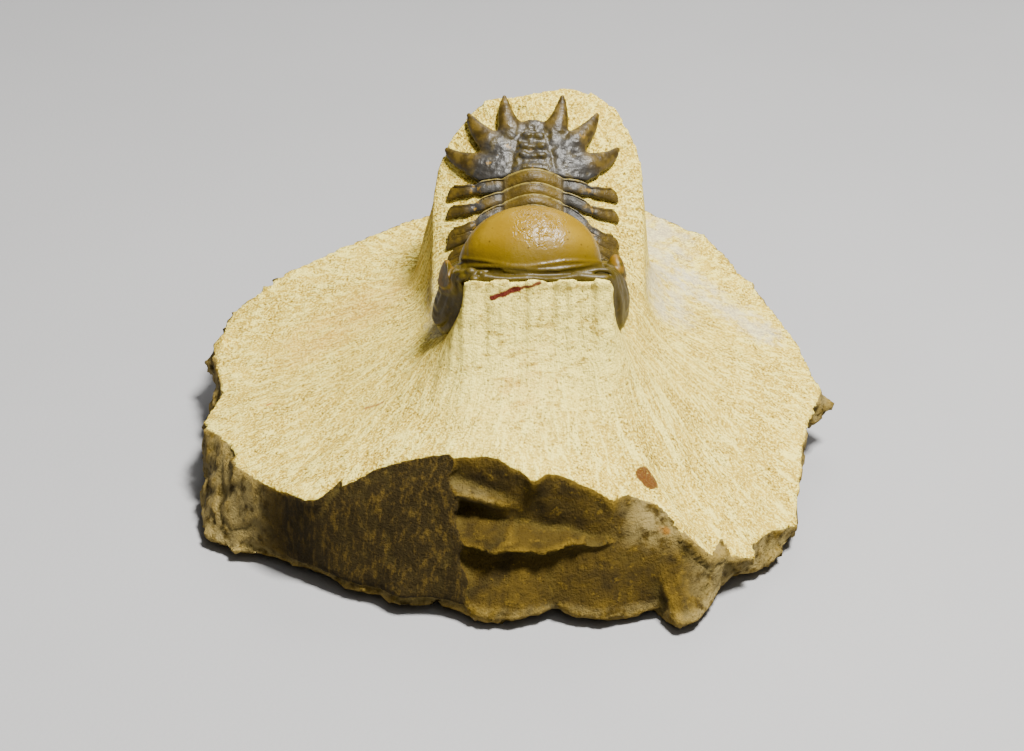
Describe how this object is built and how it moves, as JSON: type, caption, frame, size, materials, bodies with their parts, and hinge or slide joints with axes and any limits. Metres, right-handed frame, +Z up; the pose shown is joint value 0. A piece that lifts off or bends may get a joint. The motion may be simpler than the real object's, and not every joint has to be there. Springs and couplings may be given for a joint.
{
  "type": "trilobite fossil on matrix",
  "caption": "Prepared trilobite with a round swollen head and a spiny tail, standing along a steep ridge on a loose block of pale limestone that rests flat.",
  "frame": {"origin": "on the block's flat sole, under the trilobite's head region, with the sole in the plane Z = 0", "axes": "+Z up from the sole; -Y the way the trilobite's head faces; +X to the right as seen from in front of the head"},
  "size_m": [0.1088, 0.1036, 0.0586],
  "materials": {
    "limestone": "dry, matt, pale cream-yellow limestone with ground and broken faces",
    "head_shell": "glossy ochre-brown fossil shell, smooth",
    "body_shell": "semi-gloss fossil shell, slate grey with ochre-brown axis and tips",
    "tail_shell": "semi-gloss wrinkled slate-grey fossil shell with brown spines"
  },
  "bodies": {
    "root": {"matrix": "limestone", "cephalon": "head_shell", "thorax_segment_01": "body_shell", "thorax_segment_02": "body_shell", "thorax_segment_03": "body_shell", "thorax_segment_04": "body_shell", "thorax_segment_05": "body_shell", "thorax_segment_06": "body_shell", "thorax_segment_07": "body_shell", "thorax_segment_08": "body_shell", "thorax_segment_09": "body_shell", "thorax_segment_10": "body_shell", "thorax_segment_11": "body_shell", "pygidium": "tail_shell"}
  },
  "joints": []
}
